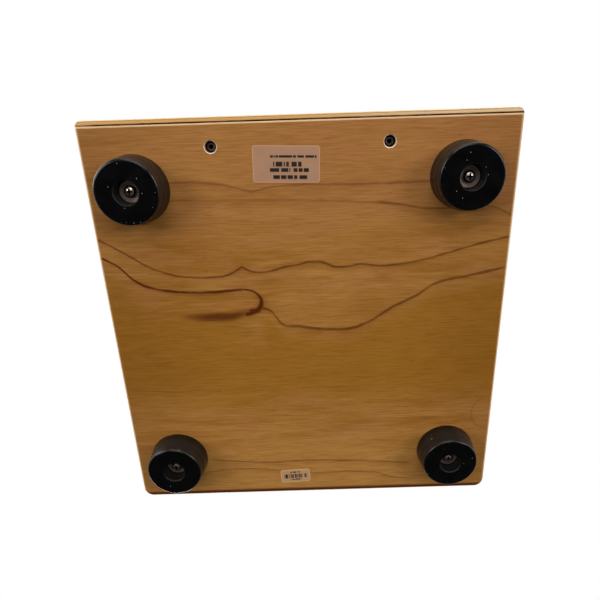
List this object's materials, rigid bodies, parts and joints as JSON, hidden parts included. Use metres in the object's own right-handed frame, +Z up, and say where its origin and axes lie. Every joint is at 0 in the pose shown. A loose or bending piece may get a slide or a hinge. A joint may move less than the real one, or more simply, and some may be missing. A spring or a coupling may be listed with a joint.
{
  "type": "cajon",
  "caption": "Wooden string cajon: a box drum with a thin front plate, a round sound hole at the back, rubber feet and string tuning bolts under the base.",
  "frame": {"origin": "under the middle of the box, on the ground that the four feet stand on", "axes": "+Z up, the front plate faces -Y, the sound hole faces +Y, +X is the case's right side seen from behind the front plate's outside, that is the viewer's right when facing the front plate"},
  "size_m": [0.3, 0.3116, 0.479],
  "materials": {
    "bottom_veneer": "satin",
    "case_veneer": "satin",
    "front_veneer": "satin",
    "back_plywood": "satin",
    "inner_softwood": "matte",
    "foot_rubber": "satin",
    "black_screw": "satin",
    "bright_steel": "gloss",
    "dull_steel": "satin",
    "bolt_steel": "satin",
    "zinc_sheet": "satin",
    "string_wire": "satin",
    "string_brass": "satin",
    "damper_felt": "matte",
    "label_paper": "satin",
    "stock_paper": "matte"
  },
  "bodies": {
    "root": {"bottom_panel": "bottom_veneer", "top_panel": "case_veneer", "side_panel_left": "case_veneer", "side_panel_right": "case_veneer", "front_plate": "front_veneer", "back_panel": "back_plywood", "front_plate_screws": "black_screw", "corner_block_top_left": "inner_softwood", "corner_block_top_right": "inner_softwood", "corner_block_bottom_left": "inner_softwood", "corner_block_bottom_right": "inner_softwood", "foot_front_left": "foot_rubber", "foot_front_right": "foot_rubber", "foot_rear_left": "foot_rubber", "foot_rear_right": "foot_rubber", "foot_washers": "dull_steel", "foot_screws": "bright_steel", "tuning_bolt_washers": "dull_steel", "guide_bracket_left": "zinc_sheet", "guide_bracket_right": "zinc_sheet", "guide_bracket_screws": "bright_steel", "upper_string_ends": "string_brass", "string_left_outer": "string_wire", "string_left_inner": "string_wire", "string_right_inner": "string_wire", "string_right_outer": "string_wire", "string_anchor_left": "zinc_sheet", "string_anchor_right": "zinc_sheet", "string_anchor_screws": "bright_steel", "bridge_bar_lower": "inner_softwood", "bridge_bar_upper": "inner_softwood", "bridge_felts": "damper_felt", "maker_label": "label_paper", "stock_label": "stock_paper"},
    "tuning_bolt_left": {"tuning_bolt_left": "bolt_steel"},
    "tuning_bolt_right": {"tuning_bolt_right": "bolt_steel"},
    "string_carriage_left": {"string_carriage_left": "zinc_sheet", "lower_string_ends_left": "string_brass"},
    "string_carriage_right": {"string_carriage_right": "zinc_sheet", "lower_string_ends_right": "string_brass"}
  },
  "joints": [
    {"name": "tuning_bolt_left_turn", "type": "hinge", "parent": "root", "child": "tuning_bolt_left", "pos_m": [-0.0606, -0.13685, 0.0262], "axis": [0, 0, 1], "range_deg": [-1805, 1805]},
    {"name": "tuning_bolt_right_turn", "type": "hinge", "parent": "root", "child": "tuning_bolt_right", "pos_m": [0.0606, -0.13685, 0.0262], "axis": [0, 0, 1], "range_deg": [-1805, 1805]},
    {"name": "string_carriage_left_slide", "type": "slide", "parent": "root", "child": "string_carriage_left", "axis": [0, 0, 1], "range_m": [-0.0035, 0.0035], "deforming": ["string_left_outer", "string_left_inner"]},
    {"name": "string_carriage_right_slide", "type": "slide", "parent": "root", "child": "string_carriage_right", "axis": [0, 0, 1], "range_m": [-0.0035, 0.0035], "deforming": ["string_right_outer", "string_right_inner"]}
  ],
  "couplings": [
    {"joint": "tuning_bolt_left_turn", "follows": "string_carriage_left_slide", "rad_per_m": -8976},
    {"joint": "tuning_bolt_right_turn", "follows": "string_carriage_right_slide", "rad_per_m": -8976}
  ]
}
